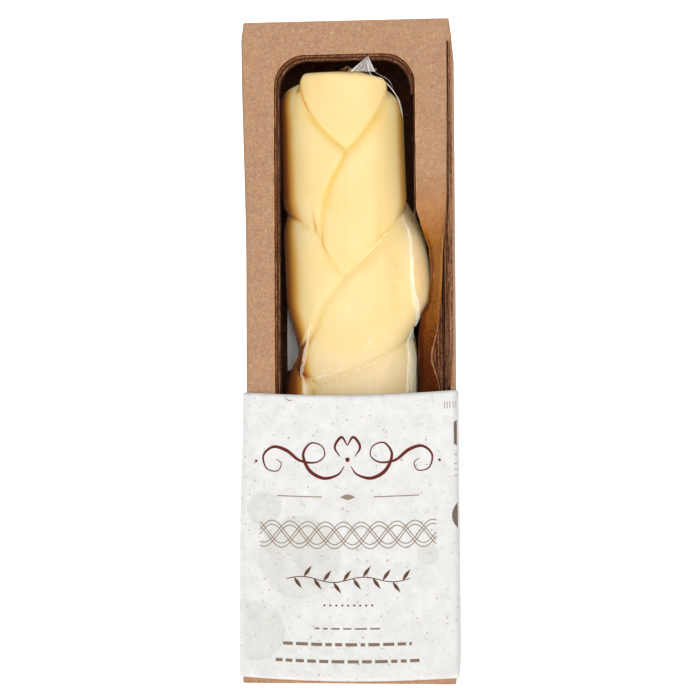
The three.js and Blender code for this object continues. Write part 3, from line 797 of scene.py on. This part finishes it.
webs = [
    web([(-18.3, 0.6, 101.5), (-18.35, 0.3, 93), (-18.3, 0.2, 84)],
        [(-17.9, 0.6, 101.4), (-15.0, -0.3, 90.2), (-17.2, -0.8, 84.2)], -0.2),
    web([(17.05, -1.6, 97.4), (17.15, -2.0, 95.2), (17.25, -1.6, 92.6)],
        [(16.2, -2.6, 97.6), (15.9, -3.2, 95.2), (16.3, -2.6, 92.4)], -0.1),
]
web_film = clear_film("web_film", 0.2, 0.6)
web_piece = domed_piece("film_webs", webs, web_film)
outside = np.linspace(1, 0.1, WEB_COLUMNS)
outside = np.append(outside, outside[::-1])
give_attribute(web_piece, "fold", np.concatenate([
    np.append(np.tile(white, WEB_ROWS), [poles, poles])
    for white, poles in ((0.12 + 0.3 * outside ** 3, 0.2), (0.3 + 0.7 * outside ** 2, 0.8))]))
let_light_through(web_piece)

# ---------------------------------------------------------------- film tip
# The film's gathered corner leans forward over the cut end and stands up in the window,
# pleated like a fan. Its free edge runs on down the right shoulder as a thin fin.
TIP_STATIONS = [(3.8, -8.5, 166.9, 3.9), (4.0, -12.2, 165.6, 3.9), (4.2, -15.2, 164.9, 3.5),
                (4.9, -16.9, 165.9, 2.3), (5.6, -18.0, 167.4, 0.9), (5.9, -18.4, 168.2, 0.25)]
rows, columns = 60, 41
middle = curve(TIP_STATIONS, rows)
across = np.linspace(-1, 1, columns)
forward = unit(np.gradient(middle[:, :3], axis=0))
out = unit(np.cross(forward, [1.0, 0, 0]))
pleat = np.sin(across * 13 + 0.6) * 0.65 + np.sin(across * 23 + 2) * 0.35
depth = 0.2 * pleat[None, :] * ease(np.arange(rows) / rows, 0, 0.3)[:, None]
face = (middle[:, None, :3] + np.array([1.0, 0, 0]) * (middle[:, 3:] * across)[..., None]
        + out[:, None] * depth[..., None])
sheet = np.concatenate([face, (face - out[:, None] * 0.1)[:, ::-1]], 1)
tip_film = clear_film("tip_film", 0.22, 0.75, 0.18)
tip = domed_piece("film_tip_fan", [sheet], tip_film)
white = np.clip(np.clip(pleat * 0.8, 0, 1) ** 2 + np.abs(across) ** 9, 0, 1)
give_attribute(tip, "fold", np.broadcast_to(np.append(white, white[::-1]), (rows, 2 * columns)))
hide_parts("film_tip")

# Each fin: its whiteness, and (x, y, z, half width) down the shoulder.
FINS = (
    (1.0, [(5.9, -18.0, 167.3, 0.12), (5.9, -16.6, 165.6, 0.2), (6.4, -13.6, 164.4, 0.16),
           (7.6, -11.2, 163.9, 0.16), (9.2, -9.6, 163.5, 0.24), (11.2, -8.0, 162.0, 0.34),
           (12.8, -6.6, 160.0, 0.4), (13.8, -5.6, 158.0, 0.5), (14.3, -5.0, 156.0, 0.3),
           (14.7, -4.6, 154.0, 0.1)]),
    (0.4, [(6.3, -18.0, 167.2, 0.08), (6.8, -16.0, 165.6, 0.12), (8.2, -13.0, 164.6, 0.12),
           (10.0, -10.6, 164.0, 0.14), (11.4, -8.8, 163.1, 0.14), (12.1, -7.8, 161.6, 0.06)]),
)
FIN_STEPS, FIN_AROUND = 90, 10
fins = []
for step, (_, stations) in enumerate(FINS):
    path = curve(stations, FIN_STEPS)
    width = np.maximum(path[:, 3], 0.05) * (1 + 0.2 * wander(FIN_STEPS, 6, 130 + step))
    fins.append(bead(path[:, :3], np.array([0.3, -0.9, 0.3]), width * 0.6, 0.1, FIN_AROUND))
fin = domed_piece("film_fin", fins, fold_film)
let_light_through(fin)
give_attribute(fin, "fold", np.repeat([white for white, _ in FINS], FIN_STEPS * FIN_AROUND + 2))

# ---------------------------------------------------------------- label sleeve
# A band of white recycled paper round the lower half, loose enough to flare at its foot
# and to sag at its top edge. Brown pulp flecks and hairs show in it.
SLEEVE_FOOT, SLEEVE_HEAD, PAPER = 1.7, 77.85, 0.35  # millimetres, as all sizes of the label
CARTON_HALF_X, CARTON_HALF_Y, CLEARANCE, SLEEVE_CORNER = 28.5, 19.0, 0.65, 1.6
FLARE, SAG, TILT = 0.25, 1.05, 0.004
CORNER_X, CORNER_Y = 27, 18            # the middles of its corners before it flares
CORNER_STEPS, SLEEVE_COLUMNS, SLEEVE_ROWS = 8, 440, 76


def sleeve_halves(share):
    """Half the sleeve's depth, and its left and right sides, at a share of its height."""
    z = SLEEVE_FOOT + share * (SLEEVE_HEAD - SLEEVE_FOOT)
    spread = CLEARANCE + FLARE * (1 - share) ** 1.5
    waist = 0.95 * ease(z, 40, 78)
    return CARTON_HALF_Y + spread, -(CARTON_HALF_X - waist + spread), CARTON_HALF_X + spread


def face_bow(x, share):
    """How far the front face lies back: it slopes away left of a slanting crease, and is
    a little wavy."""
    crease_x = -23.2 - 2.4 * share
    slope = 0.75 * np.clip((crease_x - x) / (crease_x + 28.9), 0, 1)
    pinch = 0.06 * np.exp(-((x - crease_x - 0.4) / 0.6) ** 2) * np.sin(share * 9)
    wave = 0.05 * np.sin(x / 4.1 + share * 5) * np.sin(share * 11 + x / 13)
    return 0.11 + slope + pinch + wave


def sleeve_height(x, share):
    """Height of a place on the sleeve: both edges sag by a cosine and the top is tilted."""
    z = SLEEVE_FOOT + share * (SLEEVE_HEAD - SLEEVE_FOOT)
    return z - SAG * np.cos(np.clip(x / 57, -0.5, 0.5) * np.pi) + TILT * x * share


def sleeve_surface(inset):
    """A rounded rectangle at each height: straight between corners, quarter circles at them."""
    bend = np.linspace(0, np.pi / 2, CORNER_STEPS)
    turn = np.concatenate([bend + k * np.pi / 2 for k in range(4)] + [[2 * np.pi]])
    sign_x = np.append(np.repeat([1, -1, -1, 1], CORNER_STEPS), 1)
    sign_y = np.append(np.repeat([1, 1, -1, -1], CORNER_STEPS), 1)
    nominal = np.stack([sign_x * CORNER_X + SLEEVE_CORNER * np.cos(turn),
                        sign_y * CORNER_Y + SLEEVE_CORNER * np.sin(turn)], -1)
    length = np.append(0, np.cumsum(np.linalg.norm(np.diff(nominal, axis=0), axis=1)))
    place = np.linspace(0, length[-1], SLEEVE_COLUMNS, endpoint=False)
    turn, sign_x, sign_y = (np.interp(place, length, v) for v in (turn, sign_x, sign_y))
    share = np.linspace(0, 1, SLEEVE_ROWS)[:, None]
    half_y, left, right = sleeve_halves(share)
    radius = SLEEVE_CORNER - inset
    x = (left + right) / 2 + sign_x * ((right - left) / 2 - SLEEVE_CORNER) + radius * np.cos(turn)
    y = sign_y * (half_y - SLEEVE_CORNER) + radius * np.sin(turn)
    front = ease(-np.sin(turn) + 0 * share, 0.2, 1)
    return np.stack([x, y + face_bow(x, share) * front, sleeve_height(x, share)], -1)


def recycled_paper(name, discs):
    """White paper of recycled pulp: soft clouds, brown flecks and fine dark hairs. The
    pale discs are printed on its front: x, z and radius in millimetres."""
    material, shader = new_material(name, Roughness=0.9, Specular_IOR_Level=0.25)
    metres = places(material, (1, 1, 1))
    clouds = noise(material, metres, 330, 4, 0.6)
    sheet = ramp(material, clouds, (0.3, paint(221, 220, 218)), (0.7, paint(232, 231, 229)))
    hairs = threads(material, metres, 300, 0.008, 0.58)
    grey = threads(material, places(material, (0.8, 1, 1.2)), 520, 0.016, 0.55)
    spots = node(material, "TexVoronoi", {"Vector": metres, "Scale": 760})
    cell = node(material, "SeparateColor", {"Color": spots.outputs["Color"]})
    dot = span(material, spots.outputs["Distance"], 0.3, 0.12)
    fleck = product(material, dot, span(material, cell, 0.88, 1.0))
    colour = flecked(material, sheet, grey, 0.3, paint(186, 182, 176))
    colour = flecked(material, colour, hairs, 0.55, paint(136, 116, 98))
    colour = flecked(material, colour, fleck, 0.7, paint(150, 130, 108))
    flat = places(material, (1000, 0, 1000))
    tint = 0.0
    for x, z, radius in discs:
        away = node(material, "VectorMath", {0: flat, 1: (x, 0, z)}, operation="DISTANCE")
        inside = span(material, away.outputs["Value"], radius + 0.1, radius - 0.1)
        tint = sums(material, "MAXIMUM", tint, inside)
    y = node(material, "SeparateXYZ", {"Vector": places(material, (1, 1000, 1))}).outputs[1]
    printed = product(material, tint, span(material, y, -19.0, -19.2))
    colour = blend_colour(material, printed, colour, paint(246, 246, 243), "MULTIPLY")
    connect(material, colour, shader.inputs["Base Color"])
    roughen(material, shader, 0.4, 0.0001, clouds)
    return material


label_paper = recycled_paper("recycled_paper", [
    (-13.0, 33.5, 11.0), (-25.0, 14.0, 8.0), (-22.5, 46.5, 4.6), (21.4, 34.5, 3.0)])
outer = sleeve_surface(0)
inner = sleeve_surface(PAPER)[::-1][::5]
sleeve = np.concatenate([outer, inner])
sleeve_faces = grid_faces(len(sleeve), SLEEVE_COLUMNS, True, True)
label = new_piece("label_sleeve", sleeve, sleeve_faces, label_paper)
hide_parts("label")

# ---------------------------------------------------------------- print and hairs
# Generic ornament printed on the paper in maroon, umber and grey: a mirrored scroll, a
# plait of fine lines, a row of leaves, dots and dashes, each a film of ink.


def on_label(x, z, lift):
    """Places on the label's front face, from places across and up it."""
    share = (z - SLEEVE_FOOT) / (SLEEVE_HEAD - SLEEVE_FOOT)
    half_y, _, _ = sleeve_halves(share)
    return np.stack([x, face_bow(x, share) - half_y - lift, sleeve_height(x, share)], -1)


def ink(x, z, half_width, lift=0.025):
    """A stroke of ink along a line on the label's front."""
    path = on_label(np.asarray(x, float), np.asarray(z, float), lift)
    return bead(path, OUTWARD, np.maximum(half_width, 0.02), 0.012, 6)


def pen(stations, count=90, lift=0.025):
    """A pen stroke through (x, z, half width) stations."""
    return ink(*curve(stations, count).T, lift)


def disc(x, z, radius, lift=0.025):
    """A round spot of ink."""
    turn = np.linspace(0.02, np.pi - 0.02, 26)
    return ink(x - radius * np.cos(turn), z + 0 * turn, radius * np.sin(turn), lift)


def dash(x, z, length, half_width):
    """A short bar of ink."""
    return ink(np.linspace(x, x + length, 6), np.full(6, z), half_width)


def print_piece(name, strokes, colour):
    """Strokes of one ink."""
    material, _ = new_material(name, Base_Color=colour, Roughness=0.7, Specular_IOR_Level=0.3)
    piece = domed_piece(name, strokes, material, smooth=False)


SCROLL_HEIGHT, RULE_HEIGHT, PLAIT_HEIGHT, LEAF_HEIGHT, DOTS_HEIGHT = 60, 50.6, 40.4, 28.6, 21.8
# The scroll's right half and the bud over its middle: (place across, height, half width).
SCROLL = [(0.9, -1.2, 0.10), (2.6, -3.4, 0.26), (6.4, -4.4, 0.42), (10.2, -2.4, 0.46),
          (11.9, 1.8, 0.34), (9.9, 4.9, 0.22), (6.9, 4.2, 0.16), (6.2, 1.6, 0.16),
          (8.6, -0.2, 0.22), (12.8, 0.2, 0.34), (16.4, 2.8, 0.44), (20.0, 3.6, 0.36),
          (22.6, 1.2, 0.26), (21.8, -2.2, 0.18), (18.9, -2.8, 0.14), (17.8, -0.8, 0.12),
          (19.2, 0.4, 0.08)]
BUD = [(2.0, 1.4, 0.1), (3.4, 4.0, 0.3), (1.6, 6.6, 0.34), (0, 4.4, 0.12)]
maroon = [pen([(side * x, SCROLL_HEIGHT + z, w) for x, z, w in half], count)
          for half, count in ((SCROLL, 220), (BUD, 90)) for side in (1, -1)]
maroon += [disc(0, SCROLL_HEIGHT + 0.6, 0.6), disc(24.6, SCROLL_HEIGHT - 0.4, 0.35),
           disc(-24.6, SCROLL_HEIGHT - 0.4, 0.35)]
print_piece("print_maroon", maroon, paint(112, 44, 36))

# Three strands of two lines each cross like a braid, under two rules and a lozenge.
plait_x = np.linspace(-23.6, 23.6, 340)
fine = []
for strand in range(3):
    wave = 3.0 * np.sin(2 * np.pi * (plait_x / 14.3 + strand / 3))
    for offset in (-0.55, 0.55):
        fine.append(ink(plait_x, PLAIT_HEIGHT + wave + offset, 0.13, 0.02 + 0.004 * strand))
fine += [dash(start, RULE_HEIGHT, 12.0, 0.14) for start in (-19.0, 7.0)]
fine += [pen([(-2.0, RULE_HEIGHT, 0.04), (0, RULE_HEIGHT, 0.75), (2.0, RULE_HEIGHT, 0.04)], 24)]
print_piece("print_fine_lines", fine, paint(158, 142, 126))


def stem_height(x):
    """The stem of the row of leaves waves a little."""
    return LEAF_HEIGHT + 0.7 * np.sin(x / 2.6)


stem_x = np.linspace(-16.5, 16.5, 120)
umber = [ink(stem_x, stem_height(stem_x), 0.12)]
for step, x in enumerate(np.linspace(-14.5, 14.5, 12)):
    lean = 1 if step % 2 else -1
    z = stem_height(x)
    leaf = [(x, z, 0.04), (x + 0.9, z + lean * 1.3, 0.46), (x + 2.1, z + lean * 2.9, 0.04)]
    umber.append(pen(leaf, 30))
umber += [disc(x, DOTS_HEIGHT, 0.28) for x in np.linspace(-6.4, 6.4, 9)]
print_piece("print_umber", umber, paint(106, 80, 62))

DASH_ROWS = ((11.4, -17.5, 16.5, 0.42), (6.9, -19.5, 18.5, 0.42), (15.6, -9, 9, 0.2))
DASH_GAP = 0.9
draw = np.random.default_rng(7)
rows_of_dashes = []
for z, start, end, half_width in DASH_ROWS:
    x = start
    while x < end:
        length = draw.uniform(1.2, 3.4)
        rows_of_dashes.append(dash(x, z, min(length, end - x + 0.4), half_width))
        x += length + DASH_GAP
print_piece("print_dashes", rows_of_dashes, paint(140, 120, 104))


def corner_ink(across, z, half_width, lift=0.03):
    """A stroke of ink where the label turns its front right corner. Across counts from the
    start of the corner: over the front if negative, then round the arc and on to the side."""
    across, z = np.broadcast_arrays(across, np.asarray(z, float))
    share = (z - SLEEVE_FOOT) / (SLEEVE_HEAD - SLEEVE_FOOT)
    half_y, _, right = sleeve_halves(share)
    turn = np.clip(across / SLEEVE_CORNER, 0, np.pi / 2)
    reach = SLEEVE_CORNER + lift
    x = right - SLEEVE_CORNER + np.minimum(across, 0) + reach * np.sin(turn)
    y = (SLEEVE_CORNER - half_y - reach * np.cos(turn)
         + face_bow(x, share) * ease(np.cos(turn), 0.2, 1)
         + np.maximum(across - SLEEVE_CORNER * np.pi / 2, 0))
    path = np.stack([x, y, sleeve_height(x, share)], -1)
    out = np.stack([np.sin(turn), -np.cos(turn), 0 * turn], -1)
    return bead(path, out, half_width, 0.012, 6)


def corner_field(start, end, middle, half_height, round_ends):
    """A field of colour of upright strokes side by side, as a bar or an ellipse."""
    places_across = np.arange(start + 0.1, end, 0.2)
    bow = 2 * (places_across - start) / (end - start) - 1
    heights = half_height * (1 - round_ends + round_ends * np.sqrt(1 - bow ** 2))
    return [corner_ink(place, np.linspace(middle - height, middle + height, 24), 0.11)
            for place, height in zip(places_across, heights)]


# Print that runs round the corner onto the right side: a bar, a round spot, upright ticks,
# and level lines as (height, start, end, half width).
TICKS = (-1.5, -0.8, -0.1, 0.8, 1.7)
LEVEL_LINES = (
    (60.8, 0.9, 5.0, 0.07), (58.4, 0.9, 5.0, 0.07), (56.8, 0.9, 5.0, 0.07), (55.2, 0.9, 5.0, 0.07),
    (38, 3.0, 11.0, 0.12), (34, 3.0, 9.5, 0.12), (30, 3.0, 8.0, 0.12), (26, 3.0, 11.0, 0.12),
    (22, 3.0, 9.5, 0.12),
)
side_strokes = corner_field(0.9, 4.4, 66.5, 3.4, 0.25) + corner_field(0.2, 6.4, 44.6, 3.6, 1.0)
side_strokes += [corner_ink(place, np.linspace(73.1, 74.9, 8), 0.07) for place in TICKS]
side_strokes += [corner_ink(np.linspace(start, end, 20), z, half_width)
                 for z, start, end, half_width in LEVEL_LINES]
print_piece("print_side", side_strokes, paint(132, 116, 106))

# Loose hairs of pulp lie in the paper's surface, and one at its top edge.
HAIRS, HAIR_STEPS = 70, 10
EDGE_HAIR = [(-16.9, 77.2, 0.03), (-16.2, 76.5, 0.1), (-15.4, 76.2, 0.12), (-14.9, 76.3, 0.04)]
draw = np.random.default_rng(19)
step = np.linspace(-0.5, 0.5, HAIR_STEPS)
hairs = []
for _ in range(HAIRS):
    x, z = draw.uniform(-26, 26.5), draw.uniform(4, 75)
    heading, bend = draw.uniform(0, np.pi), draw.uniform(-1.4, 1.4)
    stride = draw.uniform(0.3, 1.2) / HAIR_STEPS
    turn = heading + bend * step
    half_width = draw.uniform(0.03, 0.07) * np.sqrt(1 - 3.6 * step ** 2)
    hairs.append(ink(x + stride * np.cumsum(np.cos(turn)), z + stride * np.cumsum(np.sin(turn)),
                     half_width, 0.02))
hairs.append(pen(EDGE_HAIR, 24))
print_piece("paper_hairs", hairs, paint(146, 132, 118))

# ---------------------------------------------------------------- stage and light
# A pale sweep under and behind the pack, and square soft lights: a large one in front, two
# smaller ones beside it and a faint one overhead.
scene = bpy.context.scene
scene.view_settings.view_transform = "Standard"
scene.view_settings.gamma = 0.85
scene.world = bpy.data.worlds.new("studio")
scene.world.use_nodes = True
scene.world.node_tree.nodes["Background"].inputs["Color"].default_value = (1, 1, 1, 1)
scene.world.node_tree.nodes["Background"].inputs["Strength"].default_value = 0.12

floor_material, shader = new_material("pale_floor", Base_Color=paint(246, 246, 246), Roughness=0.8)
shader.inputs["Emission Color"].default_value = (1, 1, 1, 1)
shader.inputs["Emission Strength"].default_value = 0.7
FLOOR_FRONT, FLOOR_BACK, WALL_BEND, WALL_RISE, HALF_ACROSS = -4.0, 0.8, 0.4, 2.0, 5   # metres
SWEEP_ROWS, SWEEP_COLUMNS = 60, 12
# The sweep runs level for half its rows, bends up over a quarter of them and rises as a wall.
run = np.linspace(0, 1, SWEEP_ROWS)[:, None]
bend = np.clip(run - 0.5, 0, 0.25) * 2 * np.pi
depth = np.where(run < 0.5, FLOOR_FRONT + run * 2 * (FLOOR_BACK - FLOOR_FRONT),
                 FLOOR_BACK + WALL_BEND * np.sin(bend))
rise = WALL_BEND * (1 - np.cos(bend)) + np.maximum(run - 0.75, 0) * 4 * WALL_RISE
across = np.linspace(-HALF_ACROSS, HALF_ACROSS, SWEEP_COLUMNS)
sweep = np.stack(np.broadcast_arrays(across, depth, rise), -1)
mesh = bpy.data.meshes.new("floor")
sweep_faces = grid_faces(SWEEP_ROWS, SWEEP_COLUMNS, False)
mesh.from_pydata(sweep.reshape(-1, 3).tolist(), [], sweep_faces)
mesh.materials.append(floor_material)
floor = bpy.data.objects.new("floor", mesh)
scene.collection.objects.link(floor)


def soft_light(name, place, target, size, power):
    """A square area light facing its target, with its sides in metres and power in watts."""
    lamp = bpy.data.lights.new(name, "AREA")
    lamp.shape, lamp.size, lamp.energy = "SQUARE", size, power
    light = bpy.data.objects.new(name, lamp)
    light.location = place
    light.rotation_mode = "QUATERNION"
    light.rotation_quaternion = (Vector(target) - Vector(place)).to_track_quat("-Z", "Y")
    scene.collection.objects.link(light)


MIDDLE = (0, 0, 0.09)                  # the middle of the pack
soft_light("key", (0.1, -1.15, 0.22), MIDDLE, 0.7, 4.5)
soft_light("right", (0.32, -1.12, 0.14), MIDDLE, 0.5, 3.1)
soft_light("left", (-0.5, -1.0, 0.25), MIDDLE, 0.5, 0.9)
soft_light("overhead", (0, -0.1, 1.1), (0, 0, 0), 0.9, 1.5)
